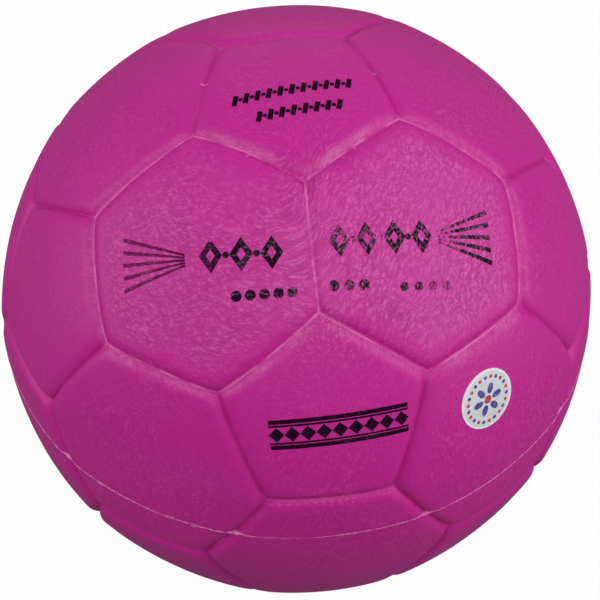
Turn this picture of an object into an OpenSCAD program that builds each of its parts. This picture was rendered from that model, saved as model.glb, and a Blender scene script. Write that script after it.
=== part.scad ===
// Size 0 soft handball: a double walled moulded ball with 32 panels, a needle valve and a round sticker.
// The ball's middle is the origin, +Z is the middle of the pentagon opposite the valve, and the mould's
// parting line lies on the equator. All lengths are in millimetres.

/* [Ball] */
// Diameter over the shoulders of the panels
ball_d = 150; // [140:0.5:165]
// Radius to which each panel is domed, a little flatter than the ball
dome_r = 84; // [83:0.5:100]

/* [Creases] */
// Depth of a crease below the shoulders beside it
crease_depth = 1.5; // [0.6:0.1:2.5]
// Distance from the bottom of a crease to where the panel's dome begins
crease_half_w = 3.4; // [2:0.1:6]

/* [Walls] */
// Thickness of the outer wall under a crease
crease_wall_t = 0.8; // [0.5:0.1:3]
// Thickness of the foamed inner wall
inner_wall_t = 2.6; // [1:0.1:6]
// Room between the two walls
bond_gap = 0.05; // [0.02:0.01:0.2]

/* [Valve housing] */
// Diameter of the collar that shows on the ball
collar_d = 12; // [10.5:0.5:16]
// Diameter of the waist that passes the inner wall
waist_d = 9.6; // [9.2:0.1:10.4]
// Diameter of the flange that holds under the inner wall
flange_d = 17; // [12:0.5:24]
// Thickness of that flange
flange_t = 1.4; // [0.8:0.1:3]
// Length of the housing from its face to its inner end
housing_l = 15; // [13:0.5:20]
// Depth of the housing's face below the panel
face_sink = 0.4; // [0.1:0.1:1]
// Room round each valve piece
valve_gap = 0.05; // [0.02:0.01:0.1]

/* [Valve core] */
// Diameter of the rubber core
core_d = 5.6; // [4.6:0.1:6]
// Diameter of the bead that locks the core
bead_d = 7.4; // [6.6:0.1:8.4]
// Height of that bead
bead_h = 2.4; // [1:0.1:4]
// Depth of the bead below the core's face
bead_depth = 5; // [3:0.1:8]
// Depth of the core's face below the housing's face
core_sink = 0.3; // [0.1:0.1:1]
// Length of the nose behind the housing
nose_l = 5; // [3:0.5:8]
// Diameter of the nose's tip
nose_tip_d = 2.8; // [2.4:0.1:4]
// Diameter of the needle channel
needle_d = 1.8; // [1.2:0.1:2.1]
// Length of the needle channel behind its funnel
needle_l = 9; // [6:0.5:12]
// Diameter of the funnel's mouth
funnel_d = 3.4; // [2.6:0.1:4.2]
// Depth of the funnel
funnel_depth = 1; // [0.5:0.1:2]
// Width of the slit that closes on the air
slit_w = 0.3; // [0.1:0.1:0.6]

/* [Round label] */
// Diameter of the sticker
label_d = 15.2; // [10:0.1:24]
// Thickness of the sticker
label_t = 0.2; // [0.1:0.05:0.5]
// Place of the sticker to the right of its panel's middle
label_right = -3.2; // [-8:0.1:8]
// Place of the sticker above its panel's middle
label_up = 12.4; // [0:0.1:14]
// Thickness of the glue under the sticker
glue_t = 0.02; // [0.01:0.01:0.1]

/* [Smoothness] */
// Straight steps along each side of a panel
side_steps = 4; // [3:1:5]

/* [Hidden] */

ball_r = ball_d / 2;
crease_r = ball_r - crease_depth;
outer_wall_in_r = crease_r - crease_wall_t;
inner_wall_out_r = outer_wall_in_r - bond_gap;
inner_wall_in_r = inner_wall_out_r - inner_wall_t;

// Rings of a panel: shares of the crease's half width, then of the way from there to the middle
flank_shares = [0.22, 0.55, 1];
dome_shares = [0.35, 0.7];
ring_count = len(flank_shares) + len(dome_shares) + 1;

// Smoothness of the true curves
fine = 240;
round_fine = 96;

// The 12 corners of an icosahedron are the middles of the pentagons
fifth = 360 / 5;
ring_lat = atan(1 / 2);
function unit(v) = v / norm(v);
function total(list, i = 0) = i == len(list) - 1 ? list[i] : list[i] + total(list, i + 1);
function direction(lat, lon) = [cos(lat) * cos(lon), cos(lat) * sin(lon), sin(lat)];
upper_ring = [for (i = [0:4]) direction(ring_lat, i * fifth - 90)];
lower_ring = [for (i = [0:4]) direction(-ring_lat, (i + 1 / 2) * fifth - 90)];
pent_axes = concat([[0, 0, 1]], upper_ring, lower_ring, [[0, 0, -1]]);
last_pent = len(pent_axes) - 1;

// Neighbouring pentagons are one icosahedron side apart, and the next nearest are over one and a half
near_share = 1.2;
near = norm(pent_axes[0] - pent_axes[1]) * near_share;
function beside(i, j) = i != j && norm(pent_axes[i] - pent_axes[j]) < near;
function leftward(i, j, k) = cross(pent_axes[i], pent_axes[j]) * pent_axes[k] > 0;
function in_turn(i, j, k) = beside(i, j) && beside(j, k) && beside(i, k) && leftward(i, j, k);
function neighbour_after(i, j) = [for (k = [0:last_pent]) if (in_turn(i, j, k)) k][0];
function neighbours_from(i, j, n) =
  n == 0 ? [] : concat([j], neighbours_from(i, neighbour_after(i, j), n - 1));
function neighbours(i) = neighbours_from(i, [for (k = [0:last_pent]) if (beside(i, k)) k][0], 5);

// Three seams meet a third of the way from one pentagon's middle to the next
function junction(i, j) = unit(2 * pent_axes[i] + pent_axes[j]);
function hexagon(i, j, k) =
  [junction(i, j), junction(j, i), junction(j, k), junction(k, j), junction(k, i), junction(i, k)];
pentagons = [for (i = [0:last_pent]) [for (j = neighbours(i)) junction(i, j)]];
hexagons = [
  for (i = [0:last_pent], j = [i + 1:1:last_pent], k = [i + 1:1:last_pent])
    if (in_turn(i, j, k)) hexagon(i, j, k)
];
panels = concat(pentagons, hexagons);

// A panel's dome: the angles from its middle, and how far its centre lies behind the ball's
function middle(corners) = unit(total(corners));
function side_angle(corners) = acos(middle(corners) * unit(corners[0] + corners[1]));
function side_reach(corners) = ball_r * tan(side_angle(corners));
function shoulder_angle(corners) = side_angle(corners) - atan(crease_half_w / ball_r);
function dome_back(corners) =
  let (a = shoulder_angle(corners)) sqrt(pow(dome_r, 2) - pow(ball_r * sin(a), 2)) - ball_r * cos(a);
function dome_reach(d, axis, back) =
  let (c = d * axis) sqrt(pow(dome_r, 2) - pow(back, 2) * (1 - c * c)) - back * c;
pole_r = dome_r - dome_back(pentagons[last_pent]);

// The flank falls away ever more steeply towards the crease
function flank_reach(reach, share) = reach - (reach - crease_r) * pow(1 - share, 2);

// A panel's points: the seam, the rings of the flank, the rings of the dome and the middle
function seam_point(corners, side, step) =
  unit(corners[side] * (side_steps - step) + corners[(side + 1) % len(corners)] * step);
function seam_points(corners) = [
  for (side = [0:len(corners) - 1], step = [0:side_steps - 1]) seam_point(corners, side, step)
];
function inward(e, axis, share) = unit(axis * share + e / (e * axis) * (1 - share));
function panel_points(corners) =
  let (
    axis = middle(corners), back = dome_back(corners), seam = seam_points(corners),
    flank_end = crease_half_w / side_reach(corners)
  )
  concat(
    [for (e = seam) e * crease_r],
    [for (share = flank_shares, e = seam)
      let (d = inward(e, axis, share * flank_end)) d * flank_reach(dome_reach(d, axis, back), share)],
    [for (share = dome_shares, e = seam)
      let (d = inward(e, axis, flank_end + share * (1 - flank_end))) d * dome_reach(d, axis, back)],
    [axis * (dome_r - back)]
  );

// A panel's faces: two triangles between rings for each step, and a fan round the middle
function panel_faces(sides, first) =
  let (n = sides * side_steps, tip = first + ring_count * n, inner = tip - n)
  concat(
    [for (ring = [0:ring_count - 2], i = [0:n - 1])
      let (a = first + ring * n + i, b = first + ring * n + (i + 1) % n)
        each [[a, a + n, b], [b, a + n, b + n]]],
    [for (i = [0:n - 1]) [inner + i, tip, inner + (i + 1) % n]]
  );
function point_count(sides) = sides * side_steps * ring_count + 1;
function first_point(panel) = panel == 0 ? 0 : first_point(panel - 1) + point_count(len(panels[panel - 1]));

// The closed outer form, with every panel and crease
module panelled_ball() {
  polyhedron(
    points = [for (corners = panels) each panel_points(corners)],
    faces = [for (i = [0:len(panels) - 1]) each panel_faces(len(panels[i]), first_point(i))]
  );
}

// Valve places, along the way out of the ball
housing_face = pole_r - face_sink;
housing_end = housing_face - housing_l;
core_face = housing_face - core_sink;
core_tip = housing_end - nose_l;
bead_top = core_face - bead_depth;
bead_bottom = bead_top - bead_h;
funnel_end = core_face - funnel_depth;
needle_end = funnel_end - needle_l;
flange_top = sqrt(pow(inner_wall_in_r, 2) - pow(flange_d / 2, 2)) - valve_gap;
collar_bottom = outer_wall_in_r;
edge_break = face_sink;

// Turns a piece drawn along +Z to the valve's place, where out of the ball is -Z
module at_valve() {
  rotate([180, 0, 0]) children();
}

// A hole from the middle of the ball out past the face of the panel, with room round the piece in it
module bore_to_valve(d) {
  at_valve() cylinder(h = pole_r + face_sink, d = d + 2 * valve_gap, $fn = round_fine);
}

module outer_wall() {
  color("#c8308e")
    difference() {
      panelled_ball();
      sphere(r = outer_wall_in_r, $fn = fine);
      bore_to_valve(collar_d);
    }
}

module inner_wall() {
  color("#e9c9d9")
    difference() {
      sphere(r = inner_wall_out_r, $fn = fine);
      sphere(r = inner_wall_in_r, $fn = fine);
      bore_to_valve(waist_d);
    }
}

// The collar shows outside, the flange holds inside, and a groove takes the core's bead
module valve_housing() {
  collar_r = collar_d / 2;
  waist_r = waist_d / 2;
  flange_r = flange_d / 2;
  socket_r = core_d / 2 + valve_gap;
  groove_r = bead_d / 2 + valve_gap;
  color("#b82a82")
    at_valve() rotate_extrude($fn = round_fine)
      polygon([
        [socket_r, housing_end],
        [waist_r - edge_break, housing_end],
        [waist_r, housing_end + edge_break],
        [waist_r, flange_top - flange_t],
        [flange_r - edge_break, flange_top - flange_t],
        [flange_r, flange_top - flange_t + edge_break],
        [flange_r, flange_top],
        [waist_r, flange_top],
        [waist_r, collar_bottom],
        [collar_r, collar_bottom],
        [collar_r, housing_face - edge_break],
        [collar_r - edge_break, housing_face],
        [socket_r + edge_break, housing_face],
        [socket_r, housing_face - edge_break],
        [socket_r, bead_top + valve_gap],
        [groove_r, bead_top + valve_gap],
        [groove_r, bead_bottom - valve_gap],
        [socket_r, bead_bottom - valve_gap]
      ]);
}

// A rubber plug with a needle channel that ends in a slit nose, which the air inside presses shut
module valve_core() {
  core_r = core_d / 2;
  bead_r = bead_d / 2;
  needle_r = needle_d / 2;
  color("#2b2530")
    at_valve() difference() {
      rotate_extrude($fn = round_fine)
        polygon([
          [0, core_tip],
          [nose_tip_d / 2, core_tip],
          [core_r, housing_end],
          [core_r, bead_bottom],
          [bead_r, bead_bottom],
          [bead_r, bead_top],
          [core_r, bead_top],
          [core_r, core_face],
          [funnel_d / 2, core_face],
          [needle_r, funnel_end],
          [needle_r, needle_end],
          [0, needle_end]
        ]);
      translate([-needle_r, -slit_w / 2, core_tip - slit_w])
        cube([needle_d, slit_w, needle_end - core_tip + 2 * slit_w]);
    }
}

// The sticker lies on the dome of the hexagon at the front right, just above the parting line
module round_label() {
  corners = hexagon(1, 6, 2);
  axis = middle(corners);
  back = dome_back(corners);
  up = unit([0, 0, 1] - axis * axis[2]);
  right = cross(up, axis);
  // On the dome, seen from the dome's own centre
  place = unit(axis * dome_r + right * label_right + up * label_up);
  under_r = dome_r + glue_t;
  color("#f4f2f2")
    translate(-axis * back) rotate([0, acos(place[2]), atan2(place[1], place[0])])
      intersection() {
        difference() {
          sphere(r = under_r + label_t, $fn = fine);
          sphere(r = under_r, $fn = fine);
        }
        cylinder(h = under_r + 2 * label_t, d = label_d, $fn = round_fine);
      }
}

outer_wall();
inner_wall();
valve_housing();
valve_core();
round_label();
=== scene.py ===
import math
from functools import partial

import bmesh
import bpy
from bpy.props import FloatProperty, FloatVectorProperty, IntProperty, PointerProperty
from mathutils import Matrix, Vector, noise


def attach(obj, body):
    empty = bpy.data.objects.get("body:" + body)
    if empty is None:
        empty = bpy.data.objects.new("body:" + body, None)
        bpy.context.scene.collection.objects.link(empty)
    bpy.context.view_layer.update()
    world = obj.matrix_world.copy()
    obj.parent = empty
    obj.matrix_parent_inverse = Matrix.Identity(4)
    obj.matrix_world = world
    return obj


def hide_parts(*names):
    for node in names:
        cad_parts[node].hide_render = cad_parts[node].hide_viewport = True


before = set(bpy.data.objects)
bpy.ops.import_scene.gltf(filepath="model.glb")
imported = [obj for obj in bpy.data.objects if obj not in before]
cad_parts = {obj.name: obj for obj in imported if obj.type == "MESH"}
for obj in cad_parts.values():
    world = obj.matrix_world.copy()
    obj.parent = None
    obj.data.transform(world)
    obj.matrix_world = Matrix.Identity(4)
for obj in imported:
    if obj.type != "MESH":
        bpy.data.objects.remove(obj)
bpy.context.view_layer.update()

bl_info = {
    "name": "Soft handball",
    "version": (1, 0, 0),
    "blender": (4, 5, 0),
    "location": "3D View > Sidebar > Handball",
    "description": "Dresses the handball: panelled skin, seams, worn prints, sticker and valve",
    "category": "Add Mesh",
}

MM = 0.001


def linear(code):
    """An sRGB hex colour as linear red, green and blue."""
    shares = [int(code[i:i + 2], 16) / 255 for i in (1, 3, 5)]
    return tuple(c / 12.92 if c <= 0.04045 else ((c + 0.055) / 1.055) ** 2.4 for c in shares)


def length(name, description, millimetres):
    """A length property, given in millimetres and kept in metres."""
    return FloatProperty(
        name=name, description=description, default=millimetres * MM, unit="LENGTH", precision=5
    )


def colour(name, description, code):
    return FloatVectorProperty(
        name=name, description=description, default=linear(code), subtype="COLOR", min=0, max=1
    )


def angle(name, description, degrees):
    return FloatProperty(
        name=name, description=description, default=math.radians(degrees), subtype="ANGLE"
    )


def plain(name, description, value):
    return FloatProperty(name=name, description=description, default=value, min=0)


class HandballSkinSizes(bpy.types.PropertyGroup):
    """Sizes of the panelled skin; the first ones are those of the part."""

    ball_d: length("Ball", "Diameter over the shoulders of the panels", 150)
    dome_r: length("Dome", "Radius to which each panel is domed", 84)
    crease_depth: length("Crease depth", "Depth of a crease below its shoulders", 1.5)
    crease_half_w: length("Crease half width", "From a crease's bottom to the panel's dome", 3.4)
    inner_r: length("Inner radius", "Radius of the skin's inner face", 72.7)
    valve_hole_d: length("Valve hole", "Diameter of the hole for the valve", 12.1)
    bead_h: length("Bead height", "Height of the fine bead along a crease's bottom", 0.3)
    bead_w: length("Bead width", "Half the width of that bead", 0.34)
    corner_round: length("Corner round", "How widely a panel's corner is rounded", 0.8)
    swell: length("Swell", "How far the soft wall swells and dips", 0.1)
    dimple: length("Dimple", "Depth of the small unevenness of the wall", 0.02)
    steps: IntProperty(name="Steps", description="Steps along a panel's side", default=24, min=4)


class HandballTrimSizes(bpy.types.PropertyGroup):
    """Sizes of what lies on the skin."""

    flash_w: length("Flash width", "Width of the thin fin on the parting line", 0.34)
    flash_h: length("Flash height", "Height of that fin", 0.13)
    flash_dip: length("Flash dip", "How far that fin dips where it crosses a crease", 0.32)
    tick_w: length("Tick width", "Width of a mould mark", 0.28)
    dash_w: length("Dash width", "Width of the raised dashes below the front pentagon", 0.34)
    dash_h: length("Dash height", "Height of those dashes", 0.08)
    ink_t: length("Ink", "Thickness of the printed ink", 0.025)
    ink_sink: length("Ink sink", "Depth of the ink's underside in the skin", 0.03)
    stroke: length("Stroke", "Width of a printed stroke", 1.4)
    label_d: length("Sticker", "Diameter of the sticker", 15.2)
    label_rise: length("Sticker face", "From the dome to the sticker's face", 0.22)
    label_right: length("Sticker right", "From its panel's middle to the right", -3.2)
    label_up: length("Sticker up", "From its panel's middle upwards", 12.4)


class HandballGrainSizes(bpy.types.PropertyGroup):
    """Sizes of the patterns in the finishes."""

    cell: length("Cell", "Width of a cell of the leather grain", 1.0)
    wrinkle: length("Wrinkle", "Distance from wrinkle to wrinkle", 0.95)
    fold: length("Fold", "Size of the turns of the long folds", 5)
    pore: length("Pore", "Size of the finest unevenness", 0.4)
    flow: length("Flow", "Distance over which the wrinkles turn", 11)
    patch: length("Patch", "Size of the patches of stronger and weaker grain", 16)
    grain_h: length("Grain height", "Height of the grain where it is strongest", 0.25)
    bead_line: length("Bead line", "Half the width of the pale line in a crease", 0.38)
    # The pale line in a crease is its bead's painted highlight
    foam_cell: length("Foam cell", "Width of a cell of the foamed lining", 0.45)
    scratch: length("Ink streak", "Width of the streaks where the ink is worn", 0.5)


class HandballColours(bpy.types.PropertyGroup):
    """Colours of the finishes."""

    skin: colour("Skin", "Magenta of the moulded skin", "#c61f91")
    # Painted on the front hexagons, partly as their wear and partly as painted sheen
    skin_pale: colour("Paler skin", "Paler magenta where the grain is strongest", "#ce389e")
    skin_shade: colour("Skin shade", "Deeper magenta in the grain", "#a21473")
    # Also painted as a highlight on the grain's ridges and on the pale spots of the shoulders
    skin_chalk: colour("Skin chalk", "Pale rubbed magenta on shoulders and flash", "#e294c8")
    # Painted along the creases' beads as their highlight, and a little on the raised dashes
    bead: colour("Bead", "Pink of the thin bead in a crease, which light shines into", "#fc86cd")
    collar: colour("Collar", "Magenta of the valve's collar", "#b92b85")
    lining: colour("Lining", "Pale pink of the foamed lining", "#e6c6d6")
    rubber: colour("Rubber", "Black of the valve's rubber", "#1f1c20")
    ink: colour("Ink", "Purple black of the prints", "#250520")
    ink_grey: colour("Ink grey", "Green grey where the ink thins", "#494449")
    label_white: colour("Sticker rim", "White rim of the sticker", "#f2ecf0")
    label_grey: colour("Sticker middle", "Cool white of the sticker's middle", "#dadde0")
    label_blue: colour("Sticker blue", "Blue print on the sticker", "#34348c")
    label_red: colour("Sticker red", "Red print on the sticker", "#bf2831")
    floor: colour("Floor", "Grey paper of the floor, seen white by the camera", "#848484")


class HandballStage(bpy.types.PropertyGroup):
    """Camera and light."""

    azimuth: angle("Azimuth", "Camera's turn round the ball", -5.43)
    elevation: angle("Elevation", "Camera's angle above the parting line", 49.18)
    roll: angle("Roll", "Camera's roll", -1.23)
    distance: length("Distance", "From the camera to the ball's middle", 600)
    lens: plain("Lens", "Focal length in millimetres on a 36 mm sensor", 140.28)
    left_power: plain("Left", "Power of the soft box on the left", 4.48)
    right_power: plain("Right", "Power of the soft box on the right", 4.7)
    front_power: plain("Front", "Power of the lamp beside the camera", 5.65)
    top_power: plain("Top", "Power of the weak lamp above on the right", 2.8)
    back_power: plain("Back", "Power of the weak lamp behind the ball", 1)
    sky: plain("Sky", "Strength of the even light from all round", 0.3)
    sky_glint: plain("Sky glint", "Share of the white surroundings that a sheen shows", 0.12)


# Settings that several nodes share
SMOOTH = {"interpolation_type": "SMOOTHSTEP"}
TIMES = {"operation": "MULTIPLY"}
COLOUR = {"data_type": "RGBA"}
WHITE = (1, 1, 1)


def add_node(tree, kind, links=(), **settings):
    """Adds a shader node with its settings and links.

    The links come by the sockets' names, or in the sockets' order. Each is a value, an output, or a
    node that stands for its first output.
    """
    node = tree.nodes.new("ShaderNode" + kind)
    for key, value in settings.items():
        setattr(node, key, value)
    sockets = [socket for socket in node.inputs if socket.enabled]
    if isinstance(links, dict):
        sockets = [next(socket for socket in sockets if socket.name == name) for name in links]
        links = links.values()
    for socket, value in zip(sockets, links):
        if isinstance(value, bpy.types.Node):
            value = next(output for output in value.outputs if output.enabled)
        if isinstance(value, bpy.types.NodeSocket):
            tree.links.new(value, socket)
        elif socket.type == "RGBA":
            socket.default_value = (*value, 1)
        else:
            socket.default_value = value
    return node


def new_material(name):
    """An empty material, and a function that adds nodes to it."""
    material = bpy.data.materials.new(name)
    material.use_nodes = True
    material.node_tree.nodes.clear()
    return material, partial(add_node, material.node_tree)


def unit_direction(lat, lon):
    """The direction at a latitude and longitude in degrees."""
    lat, lon = math.radians(lat), math.radians(lon)
    return Vector((math.cos(lat) * math.cos(lon), math.cos(lat) * math.sin(lon), math.sin(lat)))


def smooth_share(value, start, end):
    """0 before start, 1 after end, and smooth between them."""
    share = min(max((value - start) / (end - start), 0), 1)
    return share * share * (3 - 2 * share)


def weakened(share, place, spots):
    """A share, less round spots: latitude, longitude, share left, and where that fades in mm."""
    for lat, lon, left, near, far in spots:
        away = (place - unit_direction(lat, lon) * place.length).length
        share *= left + (1 - left) * smooth_share(away, near * MM, far * MM)
    return share


# The form's pentagon ring starts at -72 degrees, and the ball's at -90
RING_TURN = math.radians(-18)


def panel_form(radius):
    """A ball of 12 pentagons and 20 hexagons: an icosahedron with its corners cut off."""
    bm = bmesh.new()
    bmesh.ops.create_icosphere(bm, subdivisions=1, radius=radius)
    bmesh.ops.rotate(bm, verts=bm.verts, cent=(0, 0, 0), matrix=Matrix.Rotation(RING_TURN, 3, "Z"))
    bmesh.ops.bevel(
        bm, geom=bm.verts[:], offset=100 / 3, offset_type="PERCENT", affect="VERTICES",
        segments=1, profile=0.5, material=-1,
    )
    for vert in bm.verts:
        vert.co = vert.co.normalized() * radius
    return bm


class Panel:
    """One panel: where it points, where its sides lie and how it is domed."""

    def __init__(self, corners, s):
        self.axis = sum(corners, Vector()).normalized()
        self.height = self.axis.dot(corners[0])
        middles = [(a + b).normalized() for a, b in zip(corners, corners[1:] + corners[:1])]
        self.across = [(m - self.axis * m.dot(self.axis)).normalized() for m in middles]
        side = self.axis.angle(middles[0])
        ball_r = s.ball_d / 2
        self.reach = ball_r * math.tan(side)
        shoulder = side - math.atan(s.crease_half_w / ball_r)
        self.back = math.sqrt(s.dome_r ** 2 - (ball_r * math.sin(shoulder)) ** 2)
        self.back -= ball_r * math.cos(shoulder)
        self.dome_r = s.dome_r

    def seam_distance(self, d, s):
        """Distance of direction d from the panel's sides, rounded where two meet, and true."""
        flat = d * (s.ball_d / 2 / d.dot(self.axis))
        gaps = sorted(self.reach - flat.dot(w) for w in self.across)[:2]
        blend = math.log(1 + math.exp((gaps[0] - gaps[1]) / s.corner_round))
        return max(gaps[0] - s.corner_round * blend, 0), max(gaps[0], 0)

    def dome(self, d, rise=0):
        """Distance of the smooth dome, or of one that stands above it, in direction d."""
        c = d.dot(self.axis)
        return math.sqrt((self.dome_r + rise) ** 2 - self.back ** 2 * (1 - c * c)) - self.back * c


# Latitude and longitude of the middles of the two printed hexagons on the front
FRONT_HEXAGONS = ((52.623, -126), (52.623, -54))
# Where the seams stray in the soft wall: latitude, longitude, then right, up and reach in mm
PULLS = (
    (38.8, -103.3, 0.6, -0.65, 17), (73.1, -129.2, -0.2, 0.8, 14), (4.3, -106.1, 0.4, -0.6, 10),
    (65.0, 130.1, -1.2, -1.2, 9), (8.7, -75.6, 0.4, 0.0, 10), (57.3, -90.4, -0.25, 0.0, 12),
)
# Where the creases are shallower
SHALLOWS = (
    (58.283, -90, 0.3, 9, 18), (73.5, 18, 0.6, 8, 18), (73.5, 162, 0.6, 8, 18),
    (20.9, -144, 0.65, 6, 13), (20.9, -36, 0.65, 6, 13), (-10.1, -54, 0.5, 7, 12.5),
    (10.1, -90, 0.8, 9, 15),
)
# Where the bead is flattened
BEAD_FLATS = ((71.95, -103.74, 0.25, 3.5, 7.5), (32, -144.5, 0.4, 1.2, 3), (10.1, -90, 0, 13, 16))
# From a hexagon's middle to just past its corners
HEXAGON_REACH = 30.5 * MM


class Skin:
    """The skin's face, with its panels, creases and the unevenness of a soft moulding."""

    SWELL_SIZE = 21 * MM
    DIMPLE_SIZE = 5 * MM
    CREASE_WANDER_SIZE = 9 * MM
    CREASE_WANDER = 0.14
    BEAD_PATCH_SIZE = 17 * MM
    BEAD_ELSEWHERE = 0.5
    # The fine groove beside the bead, and the crisp line where a crease has no bead
    GROOVE_AT, GROOVE_W, GROOVE_DEPTH = 0.8 * MM, 0.24 * MM, 0.2 * MM
    CRISP_W, CRISP_DEPTH = 0.34 * MM, 0.2 * MM
    # The deepest creases, as a share of the part's
    DEPTH_SHARE = 0.88

    def __init__(self, s):
        self.s = s
        self.ball_r = s.ball_d / 2
        form = panel_form(1)
        self.panels = [Panel([v.co.copy() for v in face.verts], s) for face in form.faces]
        form.free()
        self.front = [self.panel_at(unit_direction(*spot)) for spot in FRONT_HEXAGONS]
        self.pulls = []
        for lat, lon, right, up, reach in PULLS:
            spot = unit_direction(lat, lon) * self.ball_r
            east = Vector((0, 0, 1)).cross(spot).normalized()
            move = (east * right + spot.cross(east).normalized() * up) * MM
            self.pulls.append((spot, move, reach * MM))

    def pull(self, d):
        """How far the panels' pattern is moved at direction d."""
        place = d * self.ball_r
        return sum((
            move * math.exp(-(((place - spot).length / reach) ** 2))
            for spot, move, reach in self.pulls
        ), Vector())

    def pulled(self, d):
        """The direction to which the pattern's direction d is moved."""
        return (d * self.ball_r + self.pull(d)).normalized()

    def unpulled(self, d):
        """The pattern's direction that is moved to direction d."""
        first = (d * self.ball_r - self.pull(d)).normalized()
        return (d * self.ball_r - self.pull(first)).normalized()

    def panel_at(self, d):
        return max(self.panels, key=lambda panel: panel.axis.dot(d) / panel.height)

    def bead(self, place):
        """Share of the bead at a place: whole round the front hexagons, and patchy elsewhere."""
        away = min((place - unit_direction(*spot) * place.length).length for spot in FRONT_HEXAGONS)
        front = 1 - smooth_share(away, HEXAGON_REACH, HEXAGON_REACH * 1.08)
        patchy = noise.noise(place / self.BEAD_PATCH_SIZE + Vector((3, 5, 7)))
        share = max(front, self.BEAD_ELSEWHERE * smooth_share(patchy, 0.1, 0.45))
        return weakened(share, place, BEAD_FLATS)

    def reach(self, d):
        """How far the skin is from the ball's middle, and its seam, in the pattern's direction."""
        s = self.s
        panel = self.panel_at(d)
        soft_gap, gap = panel.seam_distance(d, s)
        place = d * self.ball_r
        reach = panel.dome(d)
        if soft_gap < s.crease_half_w:
            wander = noise.noise(place / self.CREASE_WANDER_SIZE) * self.CREASE_WANDER
            depth_share = weakened(self.DEPTH_SHARE, place, SHALLOWS)
            bottom = self.ball_r - s.crease_depth * (1 + wander) * depth_share
            reach -= (reach - bottom) * (1 - soft_gap / s.crease_half_w) ** 2
            bead = self.bead(place)
            reach += s.bead_h * bead * math.exp(-((gap / s.bead_w) ** 2))
            if panel is not self.front[0]:
                across = (gap - self.GROOVE_AT) / self.GROOVE_W
                reach -= self.GROOVE_DEPTH * bead * math.exp(-(across ** 2))
            reach -= self.CRISP_DEPTH * (1 - bead) * math.exp(-((gap / self.CRISP_W) ** 2))
        reach += s.swell * noise.noise(place / self.SWELL_SIZE)
        reach += s.dimple * noise.noise(place / self.DIMPLE_SIZE)
        return reach, gap

    def point(self, d, lift=0):
        d = d.normalized()
        return d * (self.reach(self.unpulled(d))[0] + lift)


class Place:
    """A flat sheet laid on the ball, turned about its middle; x is right and y is up.

    It follows the skin with its creases, or a smooth dome that stands above its panel's.
    """

    def __init__(self, skin, lat, lon, turn=0, right=0, up=0, dome_rise=None):
        self.skin = skin
        self.dome_rise = dome_rise
        axis = unit_direction(lat, lon)
        self.panel = skin.panel_at(axis)
        north = Vector((0, 0, 1)) if abs(axis.z) < 0.99 else Vector((0, 1, 0))
        level_up = (north - axis * north.dot(axis)).normalized()
        level_right = level_up.cross(axis)
        cos, sin = math.cos(math.radians(turn)), math.sin(math.radians(turn))
        self.right = level_right * cos + level_up * sin
        self.up = level_up * cos - level_right * sin
        self.middle = axis * skin.ball_r + level_right * right + level_up * up

    def point(self, x, y, lift):
        d = (self.middle + self.right * x + self.up * y).normalized()
        if self.dome_rise is None:
            return self.skin.point(d, lift)
        return d * (self.panel.dome(d, self.dome_rise) + lift)


def add_object(name, data):
    """Puts a mesh, a lamp or a camera into the scene."""
    made = bpy.data.objects.new(name, data)
    bpy.context.scene.collection.objects.link(made)
    return made


def add_mesh(name, bm, material):
    """Turns a bmesh into an object."""
    mesh = bpy.data.meshes.new(name)
    bm.to_mesh(mesh)
    bm.free()
    mesh.materials.append(material)
    return add_object(name, mesh)


# Edges sharper than this are kept crisp on a film
CRISP_ANGLE = math.radians(40)


def make_piece(name, bm, material, crisp=False):
    """Turns a bmesh into a piece of the ball that rides on its one body."""
    bmesh.ops.recalc_face_normals(bm, faces=bm.faces)
    piece = add_mesh(name, bm, material)
    for polygon in piece.data.polygons:
        polygon.use_smooth = True
    if crisp:
        piece.data.set_sharp_from_angle(angle=CRISP_ANGLE)
    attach(piece, "root")
    return piece


def spin_round(bm, points, steps, closed=False):
    """Turns a line of points once round the ball's axis."""
    verts = [bm.verts.new(point) for point in points]
    ends = verts[1:] + verts[:1] if closed else verts[1:]
    edges = [bm.edges.new(pair) for pair in zip(verts, ends)]
    bmesh.ops.spin(
        bm, geom=verts + edges, cent=(0, 0, 0), axis=(0, 0, 1), angle=math.tau, steps=steps,
        use_merge=True,
    )


# Steps of the inner face from the valve's hole to the top
ARC_STEPS = 36
# Distances of the rings beside a seam, closest where the bead and the crease's bottom are
RING_GAPS = [0.18, 0.38, 0.58, 0.8, 1.05, 1.45, 2.05, 2.75, 3.6]
# Panels' vertices on one ring are as far from the ball's middle as each other, to this length
RING_TOLERANCE = 0.01 * MM


def round_the_valve_ring(bm, s, south_z):
    """Bends the rings round the valve, all at one height, to circles and cuts the hole."""
    sides = [unit_direction(0, 72 * i - 18) for i in range(5)]
    hole_r = s.valve_hole_d / 2
    fan = {}
    for vert in bm.verts:
        if abs(vert.co.z - south_z) < RING_TOLERANCE:
            across = max(sides, key=lambda w: vert.co.dot(w))
            fan[vert] = (vert.co.dot(across), across)
    ring_values = sorted({round(apothem / RING_TOLERANCE) for apothem, _ in fan.values()})
    rim = min((value * RING_TOLERANCE for value in ring_values), key=lambda a: abs(a - hole_r))
    for vert, (apothem, across) in fan.items():
        if apothem < rim - RING_TOLERANCE * 2:
            continue
        weight = 1 - smooth_share(apothem, rim * 1.2, rim * 2.4)
        along = vert.co.dot(Vector((-across.y, across.x, 0))) / (apothem * math.tan(math.pi / 5))
        start = math.atan2(across.y, across.x)
        circle_angle = start + along * math.pi / 5
        flat_angle = start + math.atan(along * math.tan(math.pi / 5))
        flat_r = math.hypot(vert.co.x, vert.co.y)
        turned = flat_angle + (circle_angle - flat_angle) * weight
        r = flat_r + (apothem * hole_r / rim - flat_r) * weight
        vert.co = Vector((r * math.cos(turned), r * math.sin(turned), vert.co.z))
    inside = [v for v, (apothem, _) in fan.items() if apothem < rim - RING_TOLERANCE * 2]
    bmesh.ops.delete(bm, geom=inside, context="VERTS")
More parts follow.
